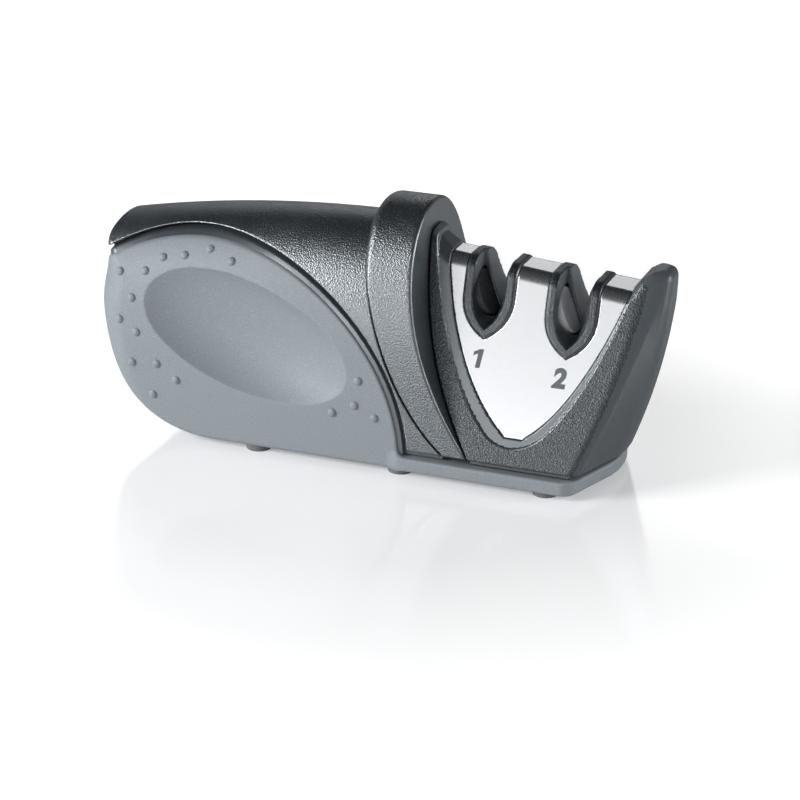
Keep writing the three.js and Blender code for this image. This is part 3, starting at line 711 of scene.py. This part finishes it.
def spread(tree, share, low, high):
    made = node(tree, "ShaderNodeMapRange", {"To Min": low, "To Max": high})
    tree.links.new(share, made.inputs["Value"])
    return made.outputs["Result"]


def bump(tree, height, strength, distance):
    made = node(tree, "ShaderNodeBump", {"Strength": strength, "Distance": distance})
    tree.links.new(height, made.inputs["Height"])
    return made.outputs["Normal"]


def moulded_plastic(name, dark, light, grains, depth, rough, shine=0.5, index=1.5):
    """Moulded plastic: colour lighter on the grain tops, partly the plastic's own tone and partly a
    painted glint; grain in the bump; roughness that varies with handling.
    """
    material, tree, shader = new_material(name)
    grain = place_group(tree, SPARK_GRAIN, Grains=grains)
    hands = place_group(tree, HANDLING, Patches=HAND_PATCHES)
    # light is the colour of the grain tops: the plastic's own tone with a painted glint on it.
    colour = blend_colours(tree, grain.outputs["Fleck_and_glint"], dark, light)
    tree.links.new(colour, shader.inputs["Base Color"])
    tree.links.new(spread(tree, hands.outputs["Shine"], *rough), shader.inputs["Roughness"])
    tree.links.new(bump(tree, grain.outputs["Height"], depth, GRAIN_REACH), shader.inputs["Normal"])
    shader.inputs["Specular IOR Level"].default_value = shine
    shader.inputs["IOR"].default_value = index
    shader.inputs["Specular Tint"].default_value = SHEEN_TINT
    return material


def brushed_steel(name, tone, stretch, rough):
    """Steel with fine lines: noise drawn out along one axis."""
    material, tree, shader = new_material(name)
    place = node(tree, "ShaderNodeTexCoord")
    drawn = node(tree, "ShaderNodeMapping", {"Scale": stretch})
    lines = node(tree, "ShaderNodeTexNoise", {"Scale": 1, "Detail": 4.0, "Roughness": 0.7})
    tree.links.new(place.outputs["Object"], drawn.inputs["Vector"])
    tree.links.new(drawn.outputs["Vector"], lines.inputs["Vector"])
    darker = tuple(0.9 * c for c in tone)
    colour = blend_colours(tree, lines.outputs["Fac"], darker, tone)
    tree.links.new(colour, shader.inputs["Base Color"])
    tree.links.new(spread(tree, lines.outputs["Fac"], *rough), shader.inputs["Roughness"])
    tree.links.new(bump(tree, lines.outputs["Fac"], LINE_DEPTH, LINE_REACH), shader.inputs["Normal"])
    shader.inputs["Metallic"].default_value = 1
    return material


def abrasive(name, dark, light, grit):
    """Sintered grit: sharp cells of two tones with a rough bump."""
    material, tree, shader = new_material(name)
    place = node(tree, "ShaderNodeTexCoord")
    cells = node(tree, "ShaderNodeTexVoronoi", {"Scale": grit})
    grain = place_group(tree, SPARK_GRAIN, Grains=grit * 0.7)
    tree.links.new(place.outputs["Object"], cells.inputs["Vector"])
    colour = blend_colours(tree, cells.outputs["Distance"], dark, light)
    tree.links.new(colour, shader.inputs["Base Color"])
    tree.links.new(spread(tree, grain.outputs["Fleck_and_glint"], 0.75, 0.95), shader.inputs["Roughness"])
    tree.links.new(bump(tree, grain.outputs["Height"], 0.5, GRAIN_REACH), shader.inputs["Normal"])
    return material


SPARK_GRAIN = grain_group()
HANDLING = handling_group()
GREY = moulded_plastic(
    "grey_side_plastic", (0.232, 0.258, 0.281), (0.3, 0.333, 0.361),
    grains=2600, depth=0.12, rough=(0.48, 0.6),
)
# In the black materials the light colour, far above the dark one, is mostly a painted glint on the
# grain tops.
GRAINED = moulded_plastic(
    "grained_black", (0.007, 0.01, 0.013), (0.045, 0.053, 0.06),
    grains=1900, depth=0.5, rough=(0.26, 0.38), shine=1.0, index=1.88,
)
HEAD_GRAINED = moulded_plastic(
    "grained_black_head", (0.007, 0.01, 0.013), (0.042, 0.05, 0.057),
    grains=1900, depth=0.6, rough=(0.26, 0.38), shine=0.9,
)
SATIN = moulded_plastic(
    "satin_black", (0.036, 0.043, 0.05), (0.05, 0.058, 0.066),
    grains=3000, depth=0.05, rough=(0.28, 0.4), shine=1.0, index=1.8,
)
# Satin black made lighter for the head's end and the other faces set back from its front: the raised
# base colour is painted light.
LIT_HEAD_SATIN = moulded_plastic(
    "satin_black_head_painted_light", (0.07, 0.08, 0.088), (0.085, 0.096, 0.105),
    grains=3000, depth=0.05, rough=(0.3, 0.42),
)
STEEL = brushed_steel("brushed_face_steel", (0.71, 0.72, 0.73), (1600, 1600, 12000), (0.2, 0.32))
PIN_STEEL = brushed_steel("pin_bright_steel", (0.62, 0.63, 0.64), (3000, 3000, 3000), (0.25, 0.4))
SCREW_STEEL = brushed_steel("screw_zinc_steel", (0.55, 0.56, 0.57), (2500, 2500, 2500), (0.3, 0.45))
COARSE = abrasive("coarse_grit", (0.03, 0.032, 0.035), (0.16, 0.165, 0.17), 3500)
FINE = abrasive("fine_grit", (0.68, 0.69, 0.7), (0.85, 0.86, 0.87), 5200)
RUBBER = moulded_plastic(
    "foot_grey_rubber", (0.13, 0.14, 0.15), (0.2, 0.21, 0.22),
    grains=2200, depth=0.2, rough=(0.75, 0.9),
)
NUMERAL = moulded_plastic(
    "numeral_ink", (0.1, 0.11, 0.12), (0.14, 0.152, 0.165),
    grains=4000, depth=0.05, rough=(0.45, 0.6),
)


# Pieces
def stands_for(piece, body, slot_name, *nodes):
    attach(piece, body)
    if nodes:
        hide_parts(*nodes)


def make_handle():
    shell = mould(
        "handle_shell_moulding", handle_shell, (-84, -28, 0.5), (74, 28, 60),
        step=0.55, share=0.5, materials=[GREY],
    )
    stands_for(shell, "frame", "grey_plastic", "handle_shell")

    def groove(centres):
        return handle_body(*centres.T) < -GROOVE_DEPTH / 2

    cover = mould(
        "top_cover_moulding", top_cover, (-84, -27, 4), (27, 27, 68),
        step=0.4, share=0.5, materials=[GRAINED, SATIN], pick=groove,
    )
    stands_for(cover, "frame", "black_plastic", "top_cover")


def make_collar():
    def right_wall(centres):
        return np.abs(right_of(COLLAR_RIGHT, centres[:, 0], centres[:, 2])) < ON_SURFACE

    band = mould(
        "collar_moulding", collar, (-3, -27, 6), (34, 27, 74),
        step=0.6, share=0.5, materials=[GRAINED, SATIN], pick=right_wall,
    )
    stands_for(band, "frame", "black_plastic", "collar")


def make_head():
    def smooth_parts(centres):
        x, y, z = centres.T
        lip = lip_outline(x, z) < ON_LIP
        # Faces set back from the front face take the lighter satin, whose colour is painted light.
        set_back = face(y, z, FRAME_PROUD) < -ON_SURFACE
        return np.where(lip, 1, np.where(set_back, 2, 0))

    housing = mould(
        "head_housing_moulding", head_housing, (12, -27, 4.5), (85, 27, 68),
        step=0.5, share=0.6, materials=[HEAD_GRAINED, SATIN, LIT_HEAD_SATIN], pick=smooth_parts,
    )
    stands_for(housing, "frame", "black_plastic", "head_housing")
    plate = mould(
        "face_plate_steel", face_plate, (19, -24, 13), (73, 24, 62),
        step=0.35, share=0.4, materials=[STEEL],
    )
    stands_for(plate, "frame", "brushed_plate", "face_plate")


def make_guides():
    def rim(centres):
        return wedge(*centres.T, GUIDE_PROUD) > -ON_RIM

    for stage, middle in enumerate(SLOT_X, 1):
        guide = mould(
            f"slot_guide_{stage}_liner", slot_guide(middle),
            (middle - 10, -17, 30), (middle + 10, 17, 62),
            step=0.35, share=0.5, materials=[SATIN, HEAD_GRAINED], pick=rim,
        )
        stands_for(guide, "frame", "black_plastic", f"slot_guide_{stage}")


def make_wheels():
    looks = (("coarse_wheel", COARSE, "coarse_abrasive"), ("fine_wheel", FINE, "fine_abrasive"))
    for middle, (kind, look, slot_name) in zip(SLOT_X, looks):
        for side, where in ((-1, "left"), (1, "right")):
            centre, axis = wheel_spot(middle, side)
            profile = [
                (HUB_BACK, -WHEEL_THICK),
                (WHEEL_RADIUS - WHEEL_EDGE, -WHEEL_THICK), (WHEEL_RADIUS, WHEEL_EDGE - WHEEL_THICK),
                (WHEEL_RADIUS, -WHEEL_EDGE), (WHEEL_RADIUS - WHEEL_EDGE, 0),
                (HUB_RIM, 0), (HUB_FLOOR, -HUB_DEPTH),
            ]
            name = f"{kind}_{where}"
            wheel = turned(name + "_disc", [lathe(profile, centre, axis)], [look])
            stands_for(wheel, name, slot_name, name)


# x and z of the grip dots' centres on the grey sides
DOTS = (
    (-73.9, 46.6), (-65.9, 47.8), (-61.1, 51.8), (-54.5, 53.1), (-47.1, 55.5), (-39.8, 53.4),
    (-69.2, 40.2), (-72.8, 33.8), (-67.4, 30.7), (-68.8, 21.6), (-61.1, 22.2), (-55.1, 18.1),
    (-62.5, 12.8), (0.3, 26.0), (-0.8, 18.7), (-7.4, 15.6), (5.1, 15.9),
)
DOT_RADIUS = 1.25
DOT_HEIGHT = 0.75
DOT_ROOT = 0.3
DOT_ROOT_SPREAD = 1.05
DOT_SKIRT_SPREAD = 1.02
DOT_SIDES = 24
# The rings stop short of DOT_QUARTER, so a small flat stays on top of each dot
DOT_RINGS = 6
DOT_QUARTER = 6.3
SEARCH_REACH = 30.0
SEARCH_ROUNDS = 40


def side_point(x, z, side):
    """Point of the handle's side at x and z, and the way out of it."""
    inner, outer = 0.0, SEARCH_REACH
    for _ in range(SEARCH_ROUNDS):
        y = (inner + outer) / 2
        if handle_shell(np.array([x]), np.array([side * y]), np.array([z]))[0] < 0:
            inner = y
        else:
            outer = y
    point = np.array([[x, side * inner, z]])
    return Vector(point[0]), Vector(slope_of(handle_shell, point)[0]).normalized()


def make_dots():
    profile = [(DOT_RADIUS * DOT_ROOT_SPREAD, -DOT_ROOT), (DOT_RADIUS * DOT_SKIRT_SPREAD, 0)]
    for i in range(1, DOT_RINGS + 1):
        turn = math.radians(90 * i / DOT_QUARTER)
        profile.append((DOT_RADIUS * math.cos(turn), DOT_HEIGHT * math.sin(turn)))
    for side, where in ((-1, "front"), (1, "back")):
        shapes = [lathe(profile, *side_point(x, z, side), DOT_SIDES) for x, z in DOTS]
        stands_for(turned(f"grip_dots_{where}", shapes, [GREY]), "frame", "grey_plastic")


NUMERAL_1 = (
    (-0.2, -2.6), (1.1, -2.6), (1.1, 2.6), (0.1, 2.6), (-1.5, 1.7), (-1.5, 0.6), (-0.2, 1.3),
)
NUMERAL_1_AT = (31.4, 33.6)
NUMERAL_2_AT = (54.7, 31.2)
NUMERAL_HEIGHT = 5
NUMERAL_SLANT = 0.14
NUMERAL_BOLD = 0.36
# A figure's height as a share of the font's size
FIGURE_SHARE = 0.7
INK = 0.05


def numeral_one():
    count = len(NUMERAL_1)
    slanted = [(u + NUMERAL_SLANT * v, v) for u, v in NUMERAL_1]
    points = [(u, v, w) for w in (0, INK) for u, v in slanted]
    sides = [(i, (i + 1) % count, count + (i + 1) % count, count + i) for i in range(count)]
    faces = [tuple(range(count))[::-1], tuple(range(count, 2 * count)), *sides]
    mesh = bpy.data.meshes.new("numeral_1")
    mesh.from_pydata(points, [], faces)
    return mesh


def numeral_two():
    curve = bpy.data.curves.new("numeral_2", "FONT")
    curve.body = "2"
    curve.size = NUMERAL_HEIGHT / FIGURE_SHARE
    curve.shear = NUMERAL_SLANT
    curve.offset = NUMERAL_BOLD
    curve.extrude = INK / 2
    curve.align_x = "CENTER"
    curve.align_y = "CENTER"
    text_object = bpy.data.objects.new("numeral_text", curve)
    bpy.context.scene.collection.objects.link(text_object)
    evaluated = text_object.evaluated_get(bpy.context.evaluated_depsgraph_get())
    mesh = bpy.data.meshes.new_from_object(evaluated)
    bpy.data.objects.remove(text_object)
    mesh.name = "numeral_2"
    mesh.materials.clear()
    return mesh


def make_numerals():
    """Ink numerals on the front face of the steel."""
    up = Vector((0, FACE_LEAN, 1)).normalized()
    right = Vector((1, 0, 0))
    out = right.cross(up)
    turn = Matrix((right, up, out)).transposed()
    for mesh, (x, z) in ((numeral_one(), NUMERAL_1_AT), (numeral_two(), NUMERAL_2_AT)):
        y = -(FACE_HALF_TOP + (FACE_TOP - z) * FACE_LEAN)
        base = Vector((x, y, z)) + out * INK / 2
        points = [turn @ v.co + base for v in mesh.vertices]
        mesh.vertices.foreach_set("co", to_frame(points).ravel())
        mesh.update()
        stands_for(add_object(mesh.name + "_print", mesh, [NUMERAL]), "frame", "black_plastic")


def dress_nodes():
    """Better finishes for the solids that stay as they are."""
    looks = {"pin": PIN_STEEL, "screw": SCREW_STEEL, "foot": RUBBER}
    for name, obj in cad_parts.items():
        for word, look in looks.items():
            if word in name:
                obj.data.materials.clear()
                obj.data.materials.append(look)


make_handle()
make_collar()
make_head()
make_guides()
make_wheels()
make_dots()
make_numerals()
dress_nodes()


# Floor, light and camera
def make_floor():
    """White floor that glows to the camera alone, least near the middle, where the shadow falls."""
    half = 4
    mesh = bpy.data.meshes.new("studio_floor")
    corners = [(-half, -half, 0), (half, -half, 0), (half, half, 0), (-half, half, 0)]
    mesh.from_pydata(corners, [], [(0, 1, 2, 3)])
    material, tree, shader = new_material("studio_floor_white")
    place = node(tree, "ShaderNodeTexCoord")
    noise = node(tree, "ShaderNodeTexNoise", {"Scale": 30, "Detail": 3})
    tree.links.new(place.outputs["Object"], noise.inputs["Vector"])
    tree.links.new(spread(tree, noise.outputs["Fac"], 0.1, 0.14), shader.inputs["Roughness"])
    shader.inputs["Base Color"].default_value = (0.9, 0.9, 0.905, 1)
    shader.inputs["Emission Strength"].default_value = 1
    shader.inputs["Specular IOR Level"].default_value = 1
    path = node(tree, "ShaderNodeLightPath")
    away = node(tree, "ShaderNodeVectorMath", operation="LENGTH")
    glow = {"From Min": 0.08, "From Max": 0.3, "To Min": 0.27, "To Max": 1}
    lift = node(tree, "ShaderNodeMapRange", glow)
    seen = node(tree, "ShaderNodeMath", operation="MULTIPLY")
    tree.links.new(place.outputs["Object"], away.inputs[0])
    tree.links.new(away.outputs["Value"], lift.inputs["Value"])
    tree.links.new(lift.outputs["Result"], seen.inputs[0])
    tree.links.new(path.outputs["Is Camera Ray"], seen.inputs[1])
    tree.links.new(seen.outputs[0], shader.inputs["Emission Color"])
    add_object("studio_floor", mesh, [material])


def make_world():
    """Bright near the horizon, darker overhead and to the back; white where the camera looks past
    the floor.
    """
    world = bpy.data.worlds.new("studio")
    bpy.context.scene.world = world
    world.use_nodes = True
    tree = world.node_tree
    back = tree.nodes["Background"]
    place = node(tree, "ShaderNodeTexCoord")
    split = node(tree, "ShaderNodeSeparateXYZ")
    ramp = node(tree, "ShaderNodeValToRGB")
    ramp.color_ramp.elements[0].position = 0.32
    ramp.color_ramp.elements[0].color = (0.45, 0.46, 0.475, 1)
    ramp.color_ramp.elements[1].position = 0.6
    ramp.color_ramp.elements[1].color = (0.06, 0.063, 0.068, 1)
    fade = {"From Min": -0.2, "From Max": 0.5, "To Min": 1, "To Max": 0.4}
    front = node(tree, "ShaderNodeMapRange", fade)
    dimmed = node(tree, "ShaderNodeMix", {"Factor": 1}, data_type="RGBA", blend_type="MULTIPLY")
    path = node(tree, "ShaderNodeLightPath")
    mix = node(tree, "ShaderNodeMix", data_type="RGBA")
    tree.links.new(place.outputs["Generated"], split.inputs[0])
    tree.links.new(split.outputs["Z"], ramp.inputs["Fac"])
    tree.links.new(split.outputs["Y"], front.inputs["Value"])
    tree.links.new(ramp.outputs["Color"], dimmed.inputs["A"])
    tree.links.new(front.outputs["Result"], dimmed.inputs["B"])
    tree.links.new(path.outputs["Is Camera Ray"], mix.inputs["Factor"])
    tree.links.new(dimmed.outputs["Result"], mix.inputs["A"])
    mix.inputs["B"].default_value = (1, 1, 1, 1)
    tree.links.new(mix.outputs["Result"], back.inputs["Color"])


def add_lamp(name, place, target, size, power):
    lamp = bpy.data.lights.new(name, "AREA")
    lamp.shape = "RECTANGLE"
    lamp.size, lamp.size_y = size
    lamp.energy = power
    obj = bpy.data.objects.new(name, lamp)
    bpy.context.scene.collection.objects.link(obj)
    obj.location = place
    obj.rotation_euler = (Vector(target) - Vector(place)).to_track_quat("-Z", "Y").to_euler()


VIEW_TARGET = (2.84, 0, 11.27)
VIEW_AZIMUTH = math.radians(21.578)
VIEW_ELEVATION = math.radians(22.488)
VIEW_DISTANCE = 686.5
LENS = 109.1
SENSOR_WIDTH = 36
NEAREST = 0.01


def make_camera():
    camera = bpy.data.cameras.new("camera")
    camera.lens = LENS
    camera.sensor_width = SENSOR_WIDTH
    camera.clip_start = NEAREST
    obj = bpy.data.objects.new("camera", camera)
    bpy.context.scene.collection.objects.link(obj)
    target = Vector(to_frame([VIEW_TARGET])[0])
    flat = math.cos(VIEW_ELEVATION)
    sideways, forwards = math.sin(VIEW_AZIMUTH) * flat, -math.cos(VIEW_AZIMUTH) * flat
    back = Vector((sideways, forwards, math.sin(VIEW_ELEVATION)))
    obj.location = target + back * VIEW_DISTANCE * MM
    obj.rotation_euler = (target - obj.location).to_track_quat("-Z", "Y").to_euler()
    bpy.context.scene.camera = obj


make_floor()
make_world()
add_lamp("front_softbox", (-0.36, -0.95, 0.3), (0, 0, 0.03), (1.3, 0.6), 1.25)
add_lamp("key_softbox", (-0.8, -0.6, 0.47), (0, 0, 0.03), (0.5, 0.5), 11)
add_lamp("low_front_strip", (-0.33, -0.95, 0.09), (0, 0, 0.04), (1.2, 0.15), 1.8)
add_lamp("top_edge_strip", (-0.36, 0.92, 0.42), (0, 0, 0.05), (0.6, 0.16), 0.5)
add_lamp("end_softbox", (1, 0.2, 0.3), (0.03, 0, 0.04), (0.5, 0.5), 6)
make_camera()
bpy.context.scene.view_settings.view_transform = "Standard"
